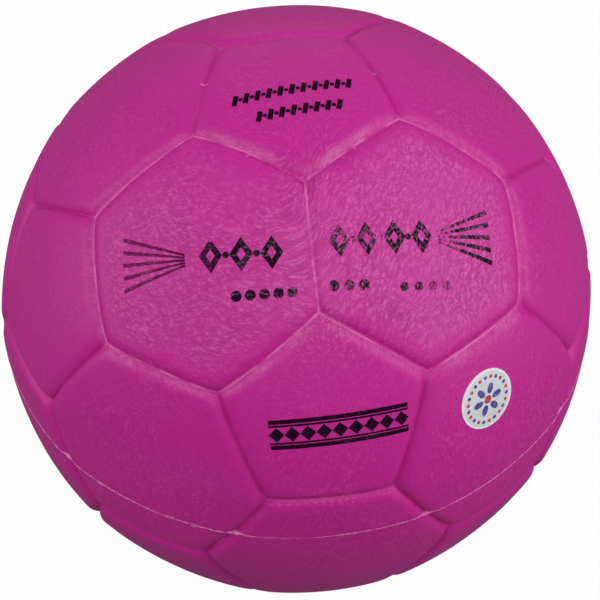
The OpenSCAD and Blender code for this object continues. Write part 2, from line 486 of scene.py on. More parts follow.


# Spots painted pale on a panel's shoulder, partly as rubbing and partly as a painted highlight:
# latitude, longitude and reach in millimetres
RUB_HIGHLIGHTS = (
    (75, -144, 8), (75, -118, 7), (74.6, -72, 9), (75, -48, 8), (30.3, -135, 7), (30.3, -121, 6),
    (30.3, -60, 6), (30.3, -46, 6), (42, -95, 6), (36, -103, 5), (41, -85, 5),
)
RUB_FROM, RUB_TO = 0.5 * MM, 3.4 * MM
RUB_ALL_ROUND = 0.5


def rub_highlight_at(skin, place, gap):
    """How pale the skin is painted, from 0 to 1, partly as rubbing and partly as highlight: round
    each spot, on its side of the seam.
    """
    beside = smooth_share(gap, 0, RUB_FROM) * (1 - smooth_share(gap, RUB_TO * 0.25, RUB_TO))
    if not beside:
        return 0
    panel = skin.panel_at(place)
    near = 0 if panel in skin.front else RUB_ALL_ROUND * smooth_share(skin.bead(place), 0.5, 1)
    for lat, lon, reach in RUB_HIGHLIGHTS:
        spot = unit_direction(lat, lon)
        away = (place - spot * place.length).length
        if away < reach * MM and panel is skin.panel_at(spot):
            near = max(near, 1 - smooth_share(away, reach * MM * 0.3, reach * MM))
    return beside * near


class HANDBALL_OT_skin(bpy.types.Operator):
    """Makes the panelled skin with its creases, its inner face and the hole for the valve"""

    bl_idname = "handball.skin"
    bl_label = "Panelled skin"

    def execute(self, context):
        s = context.scene.handball_skin
        skin = Skin(s)
        ball_r = skin.ball_r
        bm = panel_form(ball_r)
        panels = bm.faces[:]
        done = 0
        for gap in RING_GAPS:
            for sides in (5, 6):
                faces = [face for face in panels if len(face.verts) == sides]
                height = faces[0].calc_center_median().length / ball_r
                bmesh.ops.inset_individual(
                    bm, faces=faces, thickness=(gap - done) * MM * height, use_even_offset=True
                )
            done = gap
        tips = set(bmesh.ops.poke(bm, faces=panels)["verts"])
        cut = [
            edge for edge in bm.edges
            if abs(edge.verts[0].co.length - edge.verts[1].co.length) < RING_TOLERANCE
            or tips.intersection(edge.verts)
        ]
        south_z = min(vert.co.z for vert in tips)
        bmesh.ops.subdivide_edges(bm, edges=cut, cuts=s.steps - 1, use_grid_fill=True)
        round_the_valve_ring(bm, s, south_z)
        rim = [edge for edge in bm.edges if edge.is_boundary]
        gaps = bm.verts.layers.float.new("seam_gap")
        rub_highlights = bm.verts.layers.float.new("rub")
        beads = bm.verts.layers.float.new("bead")
        for vert in bm.verts:
            d = vert.co.normalized()
            reach, gap = skin.reach(d)
            vert.co = skin.pulled(d) * reach
            vert[gaps] = gap
            vert[rub_highlights] = rub_highlight_at(skin, d * ball_r, gap)
            vert[beads] = skin.bead(d * ball_r)
        self.shape_hole(bm, s, rim)
        piece = make_piece("panelled_skin", bm, skin_material(context))
        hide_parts("outer_wall")
        return {"FINISHED"}

    def shape_hole(self, bm, s, rim):
        """Trues the hole's rim and closes it to the skin's inner face, which is turned."""
        hole_r = s.valve_hole_d / 2
        for vert in {v for edge in rim for v in edge.verts}:
            scale = hole_r / math.hypot(vert.co.x, vert.co.y)
            vert.co.x *= scale
            vert.co.y *= scale
        start = math.asin(hole_r / s.inner_r)
        meridian = [start + (math.pi - start) * i / ARC_STEPS for i in range(ARC_STEPS + 1)]
        corner = min((v for edge in rim for v in edge.verts), key=lambda v: v.co.y)
        turn = math.atan2(corner.co.y, corner.co.x)
        spin_round(bm, [
            (
                s.inner_r * math.sin(a) * math.cos(turn), s.inner_r * math.sin(a) * math.sin(turn),
                -s.inner_r * math.cos(a),
            )
            for a in meridian
        ], len(rim))
        inner = [v for v in bm.verts if v.co.length < s.inner_r + RING_TOLERANCE]
        bmesh.ops.remove_doubles(bm, verts=inner, dist=RING_TOLERANCE / 10)
        open_edges = [edge for edge in bm.edges if edge.is_boundary]
        bmesh.ops.bridge_loops(bm, edges=open_edges)


# Directions along which the wrinkles run on the front left, on the front right and low down
WRINKLES_LEFT = Vector((0.95, -0.25, -0.19)).normalized()
WRINKLES_RIGHT = Vector((0.55, 0.55, 0.63)).normalized()
WRINKLES_LOW = Vector((0.1, 0, 1)).normalized()
# Spacing of the wrinkles along their own direction, as a share of that across it
WRINKLE_STRETCH_SHARE = 0.45
# Where the left's wrinkles give way to the right's, and the upper ones to the low ones
TO_RIGHT_X, TO_LOW_Z = (-6 * MM, 8 * MM), (36 * MM, 26 * MM)
# Shares of the cells, then of the folds, then of the pores in the grain's height
CELL_SHARE, FOLD_SHARE, PORE_SHARE = 0.34, 0.18, 0.24
# Distances from a seam between which the skin is painted more and more pale, partly as wear and
# partly as painted sheen
WEAR_AND_SHEEN_GAP = 2.2 * MM, 9 * MM
# Near the seam between the front hexagons the paleness is painted as if this much farther from it
MIDDLE_X, MIDDLE_GAP = (9 * MM, 3 * MM), 9 * MM
# Where, from left to right, the skin is painted paler, partly as wear and partly as painted sheen,
# and its grain grows stronger
RIGHTWARD_X = -12 * MM, 26 * MM


def drawn_out(add, place, direction):
    """A place, shortened along one direction, so that patterns come out longer that way."""
    along = add("VectorMath", (place, direction), operation="DOT_PRODUCT")
    back = add("VectorMath", (direction * (WRINKLE_STRETCH_SHARE - 1), along), operation="SCALE")
    return add("VectorMath", (place, back), operation="ADD")


def leather_grain(add, place, gap, context):
    """The mould's leather grain: cells crossed by slowly turning wrinkles.

    Returns its height from 0 to 1, how strong it is there, how pale wear and painted sheen make
    the skin, and the drawn out place.
    """
    g = context.scene.handball_grain
    apart = add("SeparateXYZ", (place,))
    # Wrinkles that turn slowly, along another direction on each side and low down
    flow = add("TexNoise", (place, 1 / g.flow, 1)).outputs["Color"]
    bend = add("VectorMath", (flow, (0.5, 0.5, 0.5)), operation="SUBTRACT")
    bend = add("VectorMath", (bend, g.flow * 0.45), operation="SCALE")
    bent = add("VectorMath", (place, bend), operation="ADD")
    to_right = add("MapRange", (apart.outputs["X"], *TO_RIGHT_X), **SMOOTH)
    to_low = add("MapRange", (apart.outputs["Z"], *TO_LOW_Z), **SMOOTH)
    left, right, low = (
        drawn_out(add, bent, way) for way in (WRINKLES_LEFT, WRINKLES_RIGHT, WRINKLES_LOW)
    )
    upper = add("Mix", (to_right, left, right), data_type="VECTOR")
    drawn = add("Mix", (to_low, upper, low), data_type="VECTOR")
    wrinkle = add("TexNoise", (drawn, 1 / g.wrinkle, 3, 0.6))
    wrinkle = add("MapRange", (wrinkle, 0.3, 0.7))
    # Cells and long folds, whose outlines are frayed by a finer noise
    fray = add("TexNoise", (place, 1 / g.wrinkle, 2)).outputs["Color"]
    fray = add("VectorMath", (fray, g.cell * 0.8), operation="SCALE")
    frayed = add("VectorMath", (drawn, fray), operation="ADD")
    cell = add("TexVoronoi", (frayed, 1 / g.cell), feature="DISTANCE_TO_EDGE")
    cell = add("MapRange", (cell, 0, 0.2), **SMOOTH)
    fold = add("TexNoise", (frayed, 1 / g.fold, 1))
    fold = add("Math", (fold, 0.5), operation="SUBTRACT")
    fold = add("Math", (fold,), operation="ABSOLUTE")
    fold = add("MapRange", (fold, 0, 0.03), **SMOOTH)
    pore = add("TexNoise", (bent, 1 / g.pore, 2))
    height = wrinkle
    for share, layer in ((CELL_SHARE, cell), (FOLD_SHARE, fold), (PORE_SHARE, pore)):
        height = add("Mix", (share, height, layer))
    # Stronger on the two front hexagons, off their seams, and in patches; weaker on the left
    patch = add("TexNoise", (place, 1 / g.patch, 1))
    patch = add("MapRange", (patch, 0.3, 0.62, 0.45, 1))
    ball_r = context.scene.handball_skin.ball_d / 2
    away = add("Math", [
        add("VectorMath", (place, unit_direction(*spot) * ball_r), operation="DISTANCE")
        for spot in FRONT_HEXAGONS
    ], operation="MINIMUM")
    # Paler on the two front hexagons, partly as their wear and partly as painted sheen
    wear_and_sheen = add("MapRange", (away, HEXAGON_REACH, HEXAGON_REACH * 0.9), **SMOOTH)
    off_middle = add("Math", (apart.outputs["X"],), operation="ABSOLUTE")
    kept = add("MapRange", (off_middle, *MIDDLE_X, 0, MIDDLE_GAP), **SMOOTH)
    from_edge = add("Math", (gap, kept), operation="ADD")
    inside = add("MapRange", (from_edge, *WEAR_AND_SHEEN_GAP), **SMOOTH)
    rightward = add("MapRange", (apart.outputs["X"], *RIGHTWARD_X, 0.5, 1))
    for share in (inside, rightward):
        wear_and_sheen = add("Math", (wear_and_sheen, share), **TIMES)
    grained = add(
        "MapRange", (away, HEXAGON_REACH * 0.85, HEXAGON_REACH * 1.25, 1, 0.38), **SMOOTH
    )
    inside = add("Math", (inside, 0.7, 0.3), operation="MULTIPLY_ADD")
    rightward = add("Math", (rightward, 0.5, 0.5), operation="MULTIPLY_ADD")
    grained = add("Math", (grained, inside), **TIMES)
    strength = add("Math", (patch, grained), **TIMES)
    strength = add("Math", (strength, rightward), **TIMES)
    return height, strength, wear_and_sheen, drawn


def grained_skin(add, place, gap, context):
    """Colour and normal of the grained skin, which also shows where the ink is worn through."""
    g = context.scene.handball_grain
    c = context.scene.handball_colours
    height, strength, wear_and_sheen, drawn = leather_grain(add, place, gap, context)
    # Painted shade deepens the grain's furrows and a painted highlight pales its ridges, as
    # strongly as the grain is
    low, ridge_highlight, relief = (
        add("Math", (share, strength), **TIMES) for share in (
            add("MapRange", (height, 0.64, 0.3, 0, 0.66)),
            add("MapRange", (height, 0.58, 0.84, 0, 0.32)),
            height,
        )
    )
    base = c.skin
    for share, coat in ((wear_and_sheen, c.skin_pale), (low, c.skin_shade), (ridge_highlight, c.skin_chalk)):
        base = add("Mix", (share, base, coat), **COLOUR)
    normal = add("Bump", {"Height": relief, "Strength": 1, "Distance": g.grain_h})
    return base, normal, drawn, height


# Typical of soft PVC, a little dull by its grain and its powdery face
PVC = {"IOR": 1.5, "Specular IOR Level": 0.29, "Roughness": 0.48}


def skin_material(context):
    """Soft PVC from a grained, turning mould: dull leathery sheen, painted highlight on its beads.
    """
    material, add = new_material("rotomoulded_soft_pvc")
    place = add("TexCoord").outputs["Object"]
    g = context.scene.handball_grain
    c = context.scene.handball_colours
    gap, bead, rub = (
        add("Attribute", attribute_name=name).outputs["Fac"] for name in ("seam_gap", "bead", "rub")
    )
    base, normal, _, height = grained_skin(add, place, gap, context)
    # A painted highlight along each crease's bead, broken up and kept to where the bead stands
    line = add("MapRange", (gap, g.bead_line, g.bead_line * 0.45, 0, 0.5), **SMOOTH)
    broken = add("TexNoise", (place, 1 / (5 * MM), 4))
    broken = add("MapRange", (broken, 0.38, 0.58, 0.12, 1))
    risen = add("MapRange", (height, 0.4, 0.72, 0.1, 0.3))
    for share in (bead, broken):
        line = add("Math", (line, share), **TIMES)
    # Pale spots on the shoulders' grain ridges: partly rubbed chalk, partly painted highlight
    rubbed = add("Math", (rub, risen), **TIMES)
    for share, coat in ((line, c.bead), (rubbed, c.skin_chalk)):
        base = add("Mix", (share, base, coat), **COLOUR)
    shader = add("BsdfPrincipled", {"Base Color": base, "Normal": normal, **PVC})
    add("OutputMaterial", {"Surface": shader})
    return material


def flash_material(context):
    """Torn edge of soft PVC where the mould's halves met: thin, pale and powdery."""
    material, add = new_material("torn_pvc_flash")
    place = add("TexCoord").outputs["Object"]
    c = context.scene.handball_colours
    ball_r = context.scene.handball_skin.ball_d / 2
    fray = add("TexNoise", (place, 1 / (1.2 * MM), 4))
    pale = add("MapRange", (fray, 0.35, 0.6, 0.1, 0.9))
    narrow = unit_direction(0, FIN_CHANGES[0][0]) * ball_r
    faint = add("VectorMath", (place, narrow), operation="DISTANCE")
    faint = add("MapRange", (faint, 5 * MM, 14 * MM, 0.45, 1), **SMOOTH)
    pale = add("Math", (pale, faint), **TIMES)
    base = add("Mix", (pale, c.skin, c.skin_chalk), **COLOUR)
    normal = add("Bump", {"Height": fray, "Distance": context.scene.handball_grain.grain_h})
    shader = add("BsdfPrincipled", {"Base Color": base, "Normal": normal, **PVC})
    add("OutputMaterial", {"Surface": shader})
    return material


# Distance of the prints from the nearest seam, at least
PRINTS_GAP = 9 * MM
# Where the ink is more worn, from left to right, and where the rays fade, from right to left
WORN_X, RAYS_X = (-10 * MM, 4 * MM), (-20 * MM, -36 * MM)
# Middle and half of the height at which the two hexagons' prints lie
HEXAGON_PRINTS_Z = 57 * MM, 12 * MM


def ink_material(context):
    """Pad printed ink on soft PVC: near black, rubbed off in streaks that follow the wrinkles."""
    material, add = new_material("pad_printed_ink")
    place = add("TexCoord").outputs["Object"]
    c = context.scene.handball_colours
    base, normal, drawn, _ = grained_skin(add, place, PRINTS_GAP, context)
    apart = add("SeparateXYZ", (place,))
    streak = add("TexNoise", (drawn, 1 / context.scene.handball_grain.scratch, 3, 0.6))
    patch = add("TexNoise", (place, 1 / (7 * MM), 1))
    patch = add("Math", (patch, 0.5), **TIMES)
    # The right side is worn most; the prints off the two hexagons, at other heights, least
    on_right = add("MapRange", (apart.outputs["X"], *WORN_X, -0.07, 0.05))
    hexagons = add("Math", (apart.outputs["Z"], *HEXAGON_PRINTS_Z), operation="COMPARE")
    kept = add("MapRange", (hexagons, 1, 0, 0, -0.2))
    wear = streak
    for more in (patch, on_right, kept):
        wear = add("Math", (wear, more), operation="ADD")
    thin = add("MapRange", (wear, 0.7, 0.84))
    bare = add("MapRange", (wear, 0.82, 0.91))
    faint = add("MapRange", (apart.outputs["X"], *RAYS_X, 0, 0.3))
    bare = add("Math", (bare, faint), operation="MAXIMUM")
    shown = c.ink
    for share, coat in ((thin, c.ink_grey), (bare, base)):
        shown = add("Mix", (share, shown, coat), **COLOUR)
    shader = add("BsdfPrincipled", {
        "Base Color": shown, "Normal": normal, "IOR": 1.5, "Specular IOR Level": 0.03,
        "Roughness": 0.6,
    })
    add("OutputMaterial", {"Surface": shader})
    return material


def mottled_material(name, base, coat, size, detail, shares, gloss, bump=0):
    """A colour under cloudy spots of another.

    Takes the spots' size and detail, the noise and coat shares between which they fade, what the
    shader is given for its gloss, and the height of the spots.
    """
    material, add = new_material(name)
    place = add("TexCoord").outputs["Object"]
    spots = add("TexNoise", (place, 1 / size, detail))
    share = add("MapRange", (spots, *shares)) if shares else spots
    links = {"Base Color": add("Mix", (share, base, coat), **COLOUR), **gloss}
    if bump:
        links["Normal"] = add("Bump", {"Height": spots, "Distance": bump})
    add("OutputMaterial", {"Surface": add("BsdfPrincipled", links)})
    return material


def dash_material(c):
    """Soft PVC on small raised dashes of the mould: the skin's magenta, mottled a little brighter
    with the pink of the beads' painted highlight.
    """
    shares = 0.35, 0.65, 0.05, 0.22
    return mottled_material("worn_raised_pvc", c.skin, c.bead, 1.5 * MM, 3, shares, PVC)


def label_ink_material(name, code, c):
    """Sticker ink, screen printed on vinyl: flat colour with a slight mottle."""
    return mottled_material(
        "screen_printed_" + name, code, c.label_grey, 0.6 * MM, 3, (0.45, 0.75, 0, 0.35),
        {"IOR": 1.5, "Roughness": 0.4},
    )


def collar_material(c):
    """Soft PVC, injection moulded: smoother than the skin, with a faint satin mottle."""
    return mottled_material(
        "injection_moulded_pvc", c.collar, c.skin, 1.5 * MM, 4, None,
        {"IOR": 1.5, "Specular IOR Level": 0.45, "Roughness": 0.35}, 0.02 * MM,
    )


def rubber_material(c):
    """Black rubber, compression moulded: dull, with dusty specks."""
    return mottled_material(
        "compression_moulded_rubber", c.rubber, c.ink_grey, 0.5 * MM, 4, (0.5, 0.8, 0, 0.3),
        {"IOR": 1.52, "Specular IOR Level": 0.4, "Roughness": 0.6}, 0.03 * MM,
    )


def vinyl_material(context, place):
    """Printed vinyl, die cut: smooth and a little glossy, cool white inside a whiter rim."""
    material, add = new_material("die_cut_vinyl")
    spot = add("TexCoord").outputs["Object"]
    c = context.scene.handball_colours
    t = context.scene.handball_trim
    away = add("VectorMath", (spot, place.point(0, 0, 0)), operation="DISTANCE")
    rim = add("MapRange", (away, t.label_d * 0.455, t.label_d * 0.47), **SMOOTH)
    scuff = add("TexNoise", (spot, 1 / (2.5 * MM), 4))
    scuff = add("MapRange", (scuff, 0.45, 0.75, 0, 0.12))
    base = add("Mix", (rim, c.label_grey, c.label_white), **COLOUR)
    base = add("Mix", (scuff, base, c.skin_chalk), **COLOUR)
    normal = add("Bump", {"Height": scuff, "Distance": 0.05 * MM})
    shader = add("BsdfPrincipled", {
        "Base Color": base, "Normal": normal, "IOR": 1.53, "Roughness": 0.35,
    })
    add("OutputMaterial", {"Surface": shader})
    return material


def foam_material(context):
    """Foamed soft PVC, cut or moulded against itself: pale, matt and full of fine cells."""
    material, add = new_material("foamed_pvc")
    place = add("TexCoord").outputs["Object"]
    c = context.scene.handball_colours
    cells = add("TexVoronoi", (place, 1 / context.scene.handball_grain.foam_cell))
    holes = add("MapRange", (cells, 0.1, 0.5), **SMOOTH)
    cloudy = add("TexNoise", (place, 1 / (8 * MM), 2))
    # Painted shade: the cells' hollows, and cloudy patches, take the deeper pink
    shade = add("Math", (holes, cloudy), **TIMES)
    base = add("Mix", (shade, c.skin_chalk, c.lining), **COLOUR)
    normal = add("Bump", {"Height": holes, "Distance": 0.15 * MM})
    shader = add("BsdfPrincipled", {
        "Base Color": base, "Normal": normal, "IOR": 1.5, "Specular IOR Level": 0.3,
        "Roughness": 0.8,
    })
    add("OutputMaterial", {"Surface": shader})
    return material


# Over which length a film's outline strays, and the seed by which it does so each time alike
RAGGED_SIZE, RAGGED_SEED = 0.7 * MM, 1
# The length of a straight stroke's squares
BAR_STEP = 0.8 * MM


def lay_film(sheet, name, place, material, rise, ragged=0.0, cell=1.0 * MM):
    """Lays flat shapes on the ball as one thin closed film, with slightly ragged outlines."""
    sink = bpy.context.scene.handball_trim.ink_sink
    for _ in range(2):
        long_edges = [edge for edge in sheet.edges if edge.calc_length() > cell * 1.5]
        if long_edges:
            bmesh.ops.subdivide_edges(sheet, edges=long_edges, cuts=1, use_grid_fill=True)
    low = sheet.verts[:]
    made = bmesh.ops.extrude_face_region(sheet, geom=sheet.faces[:], use_keep_orig=True)
    top = {item for item in made["geom"] if isinstance(item, bmesh.types.BMVert)}
    noise.seed_set(RAGGED_SEED)
    for vert in low + list(top):
        x, y, _ = vert.co
        stray = noise.noise_vector(Vector((x, y, 0)) / RAGGED_SIZE) * ragged
        lift = rise if vert in top else -sink
        vert.co = place.point(x + stray.x, y + stray.y, lift)
    return make_piece(name, sheet, material, crisp=True)


def add_dot(sheet, x, y, across):
    bmesh.ops.create_circle(
        sheet, cap_ends=True, segments=18, radius=across / 2, matrix=Matrix.Translation((x, y, 0))
    )


def add_oval(sheet, width, height, turn=Matrix()):
    """A round or oval spot round the sheet's origin, or moved from there."""
    shape = turn @ Matrix.Diagonal((width, height, 1, 1))
    bmesh.ops.create_circle(sheet, cap_ends=True, segments=18, radius=0.5, matrix=shape)


def add_bar(sheet, start, end, start_w, end_w):
    """A straight stroke that may taper, in squares of about its own width."""
    run = Vector(end) - Vector(start)
    steps = max(round(run.length / BAR_STEP), 1)
    bar = bmesh.ops.create_grid(sheet, x_segments=steps, y_segments=1, size=0.5)["verts"]
    cos, sin = run.normalized()
    for vert in bar:
        share = vert.co.x + 0.5
        side = vert.co.y * (start_w + (end_w - start_w) * share)
        vert.co.x = start[0] + run.x * share - sin * side
        vert.co.y = start[1] + run.y * share + cos * side


def add_diamond(sheet, x, y, width, height, stroke=None):
    """A diamond, or its outline where a stroke is given."""
    shape = Matrix.Translation((x, y, 0)) @ Matrix.Diagonal((width / 2, height / 2, 1, 1))
    made = bmesh.ops.create_circle(sheet, cap_ends=True, segments=4, radius=1, matrix=shape)
    if stroke:
        faces = list({face for vert in made["verts"] for face in vert.link_faces})
        bmesh.ops.inset_individual(sheet, faces=faces, thickness=stroke, use_even_offset=True)
        bmesh.ops.delete(sheet, geom=faces, context="FACES_ONLY")


class HANDBALL_OT_prints(bpy.types.Operator):
    """Prints the worn black rows of diamonds, dots and strokes on four panels"""

    bl_idname = "handball.prints"
    bl_label = "Prints"

    def execute(self, context):
        t = context.scene.handball_trim
        skin = Skin(context.scene.handball_skin)
        material = ink_material(context)
        prints = (
            ("print_left", self.left_sheet(t), Place(skin, 52.623, -126, 26)),
            ("print_right", self.right_sheet(t), Place(skin, 52.623, -54, -30)),
            ("print_top", self.top_sheet(), Place(skin, 90, -90, 5.7)),
            ("print_front", self.front_sheet(), Place(skin, 26.565, -90, 1.5)),
        )
        for name, sheet, place in prints:
            lay_film(sheet, name, place, material, t.ink_t, 0.08 * MM)
        return {"FINISHED"}

    def left_sheet(self, t):
        """Five slanted rays, then outlined diamonds with dots between, and a row of dots below."""
        sheet = bmesh.new()
        self.add_rays(sheet, (-18.5, -6, 3.1, 1), (-2.2, -1.2, 0.6, 0.5))
        self.add_diamonds(sheet, t, 3, 4, 7.3, 5.6, 1.6)
        self.add_dots(sheet, 5, 9.7, 3.4, -9.2, 2.6)
        return sheet

    def right_sheet(self, t):
        """Four outlined diamonds with dots between, five rays, and two worn rows of dots below."""
        sheet = bmesh.new()
        self.add_diamonds(sheet, t, 4, -21.6, 6.8, 5.4, 1.5)
        self.add_rays(sheet, (3, -1, 0.6, 0.5), (18, -6, 3.1, 1.2))
        self.add_dots(sheet, 3, -24, 3.8, -10.3, 2.7)
        self.add_dots(sheet, 4, -6.5, 3.6, -11.1, 2.2)
        return sheet

    def add_rays(self, sheet, *ends):
        """Five rays. Each end is given by x, the lowest y, the step upwards and the width in mm."""
        for i in range(5):
            start, end = ((x * MM, (y + step * i) * MM) for x, y, step, _ in ends)
            add_bar(sheet, start, end, ends[0][3] * MM, ends[1][3] * MM)

    def add_diamonds(self, sheet, t, count, x, pitch, width, dot):
        """A row of outlined diamonds with dots between them, in mm."""
        for i in range(count):
            middle = (x + pitch * i) * MM
            add_diamond(sheet, middle, 0.5 * MM, width * MM, 8 * MM, t.stroke)
            if i < count - 1:
                add_dot(sheet, middle + pitch / 2 * MM, 0.5 * MM, dot * MM)

    def add_dots(self, sheet, count, x, pitch, y, across):
        """A row of dots, in mm."""
        for i in range(count):
            add_dot(sheet, (x + pitch * i) * MM, y * MM, across * MM)

    def top_sheet(self):
        """Two rows of slanted strokes with dots between them."""
        sheet = bmesh.new()
        slant = (1.1 * MM, 3 * MM)
        pitch = 2.75 * MM
        for count, middle, y in ((11, 0, -0.3 * MM), (8, 0.4 * MM, -6.9 * MM)):
            for i in range(count):
                x = middle + (i - (count - 1) / 2) * pitch
                start = (x - slant[0] / 2, y - slant[1] / 2)
                end = (x + slant[0] / 2, y + slant[1] / 2)
                add_bar(sheet, start, end, 1.25 * MM, 1.25 * MM)
                if i < count - 1:
                    add_dot(sheet, x + pitch / 2, y, 1.1 * MM)
        return sheet

    def front_sheet(self):
        """Two pairs of rails with a row of small solid diamonds between them."""
        sheet = bmesh.new()
        x, y = 3 * MM, -2.0 * MM
        half = 16.5 * MM
        for rise, width in ((3.3, 1.1), (2.25, 0.5)):
            for side in (-1, 1):
                rail_y = y + side * rise * MM
                add_bar(sheet, (x - half, rail_y), (x + half, rail_y), width * MM, width * MM)
        for i in range(9):
            add_diamond(sheet, x + (i - 4) * 3.7 * MM, y, 3.7 * MM, 3.8 * MM)
        return sheet


# Where the fin is wider or narrower: longitude, gain, and where that fades, in millimetres
FIN_CHANGES = (
    (-97, -0.45, 5, 14), (-107.2, 0.9, 1.6, 4.2), (-80, 0.25, 5, 12), (-98.2, 0.4, 0.2, 1.2),
)
FIN_STEPS = 720
# Flakes torn from the fin: longitude, then width and height in millimetres
FLAKES = ((-135.4, 2.2, 1.0), (-120.0, 2.8, 0.8), (-115.3, 1.6, 1.2))
# Marks across the seams: latitude, longitude, turn and length in millimetres
SEAM_MARKS = (
    (73.9, -125.4, -85, 2.3), (73.3, -54.7, -91, 1.9), (73.5, 160.2, 85, 2.1),
    (73.6, 16.2, -95, 1.3),
)
# Ends and middle of the row of fine raised dashes below the front pentagon: latitude, longitude
DASHES = ((8.67, -101.9), (9.54, -90.12), (9.0, -78.3))


class HANDBALL_OT_marks(bpy.types.Operator):
    """Makes the fin on the parting line, its torn flakes and the mould's marks across the seams"""

    bl_idname = "handball.marks"
    bl_label = "Parting line and mould marks"

    def execute(self, context):
        t = context.scene.handball_trim
        skin = Skin(context.scene.handball_skin)
        material = flash_material(context)
        self.make_fin(context, t, skin, material)
        for i, (lon, width, height) in enumerate(FLAKES):
            sheet = bmesh.new()
            add_oval(sheet, width * MM, height * MM)
            lay_film(sheet, f"flake_{i + 1}", Place(skin, 0, lon), material,
                     t.flash_h, 0.35 * MM)
        for i, (lat, lon, turn, size) in enumerate(SEAM_MARKS):
            sheet = bmesh.new()
            for degrees, run in ((turn, size * MM), (turn + 40, size * MM / 2)):
                a = math.radians(degrees)
                half = Vector((math.cos(a), math.sin(a))) * (run / 2)
                add_bar(sheet, -half, half, t.tick_w, t.tick_w)
            lay_film(sheet, f"seam_mark_{i + 1}", Place(skin, lat, lon), material,
                     t.ink_t, 0.05 * MM, 0.4 * MM)
        self.make_dashes(context, t, skin)
        return {"FINISHED"}

    def make_dashes(self, context, t, skin):
        """Lays a bowed row of short raised dashes just below the front pentagon's lowest seam."""
        place = Place(skin, *DASHES[1])
        aways = [unit_direction(*spot) * skin.ball_r - place.middle for spot in DASHES]
        start, middle, end = (
            Vector((away.dot(place.right), away.dot(place.up))) for away in aways
        )
        sheet = bmesh.new()
        count = 17
        bow = middle * 2 - (start + end) / 2
        for i in range(count):
            # Each dash fills part of its pitch, and the pitch shrinks to the right
            shares = [s / count * (1.3 - 0.3 * s / count) for s in (i + 0.15, i + 0.75)]
            add_bar(sheet, *(
                start * (1 - share) ** 2 + bow * 2 * share * (1 - share) + end * share ** 2
                for share in shares
            ), t.dash_w, t.dash_w)
        material = dash_material(context.scene.handball_colours)
        lay_film(sheet, "raised_dashes", place, material, t.dash_h, 0.04 * MM,
                 0.5 * MM)

    def make_fin(self, context, t, skin, material):
        """Turns the fin's section and lays it on the skin; it spans the creases as a web."""
        ball_r = skin.ball_r
        half = t.flash_w / 2
        section = (
            (-t.ink_sink, -half), (t.flash_h * 0.7, -half * 0.6), (t.flash_h, 0),
            (t.flash_h * 0.7, half * 0.6), (-t.ink_sink, half),
        )
        bm = bmesh.new()
        spin_round(bm, [(ball_r + lift, 0, z) for lift, z in section], FIN_STEPS, closed=True)
        for vert in bm.verts:
            across = Vector((vert.co.x, vert.co.y, 0))
            lift = across.length - ball_r
            across.normalize()
            spot = across * ball_r
            # It wanders in width, drift and height, and is wider on the left
            width = 1 + 0.6 * noise.noise(spot / (6 * MM)) + 0.35 * -across.x
            for lon, gain, near, far in FIN_CHANGES:
                away = (spot - unit_direction(0, lon) * ball_r).length
                width += gain * (1 - smooth_share(away, near * MM, far * MM))
            drift = 0.12 * MM * noise.noise(spot / (11 * MM))
            height = 1 + 0.5 * noise.noise(spot / (3 * MM))
            d = (across * ball_r + Vector((0, 0, vert.co.z * width + drift))).normalized()
            pattern = skin.unpulled(d)
            reach = skin.reach(pattern)[0]
            if lift > 0:
                reach = max(reach, skin.panel_at(pattern).dome(pattern) - t.flash_dip)
                lift *= height
            vert.co = d * (reach + lift)
        make_piece("parting_fin", bm, material)


class HANDBALL_OT_sticker(bpy.types.Operator):
    """Finishes the round sticker and prints its ring of dots and its flower"""

    bl_idname = "handball.sticker"
    bl_label = "Sticker"

    def execute(self, context):
        t = context.scene.handball_trim
        c = context.scene.handball_colours
        skin = Skin(context.scene.handball_skin)
        place = Place(skin, 10.812, -54, 0, t.label_right, t.label_up, t.label_rise)
        finish("round_label", vinyl_material(context, place))
        blue, red = bmesh.new(), bmesh.new()
        ring, dots, dot_d = 6 * MM, 22, 1 * MM
        for i in range(dots):
            a = math.tau * i / dots
            add_dot(blue if i % 2 else red, ring * math.cos(a), ring * math.sin(a), dot_d)
        petals, petal_l, petal_w = 6, 2.9 * MM, 1.7 * MM
        for i in range(petals):
            turn = Matrix.Rotation(math.tau * i / petals, 4, "Z")
            add_oval(blue, petal_l, petal_w, turn @ Matrix.Translation((petal_l, 0, 0)))
        add_dot(red, 0, 0, 2.2 * MM)
        inks = ("sticker_blue", blue, c.label_blue), ("sticker_red", red, c.label_red)
        for name, sheet, ink in inks:
            lay_film(sheet, name, place, label_ink_material(name, ink, c), t.ink_t)
        return {"FINISHED"}


class HANDBALL_OT_valve(bpy.types.Operator):
    """Finishes the valve and the foamed lining, whose shapes are the part's own"""

    bl_idname = "handball.valve"
    bl_label = "Valve and lining"

    def execute(self, context):
        c = context.scene.handball_colours
        finish("inner_wall", foam_material(context))
        finish("valve_housing", collar_material(c))
        finish("valve_core", rubber_material(c))
        return {"FINISHED"}


def finish(node, material):
    """Gives a solid of the part a better material."""
    carried = bpy.data.objects[node]
    for slot in carried.material_slots:
        slot.material = material
    if not carried.material_slots:
        carried.data.materials.append(material)


# Where the photo's middle lies beside the ball's, as shares of the sensor
CAMERA_SHIFT_X, CAMERA_SHIFT_Y = 0.00627, -0.00308
# Lamps that stand with the camera, in metres right, up and back towards it from the ball's middle
LAMPS = {
    "left": (-1.1, 0.2, 0.4), "right": (1.1, -0.05, 0.45), "front": (0, 0.15, 1.3),
    "top": (0.8, 0.7, 0.6),
}
# The lamp behind the ball, in metres from its middle
BACK_LAMP = Vector((0.1, 1.3, 0.55))
LAMP_D = 0.9
# Half the width of the floor
FLOOR_REACH = 4
# Strength of the floor's own light for the camera, and its share there
FLOOR_GLOW, FLOOR_GLOW_SHARE = 1.12, 0.86


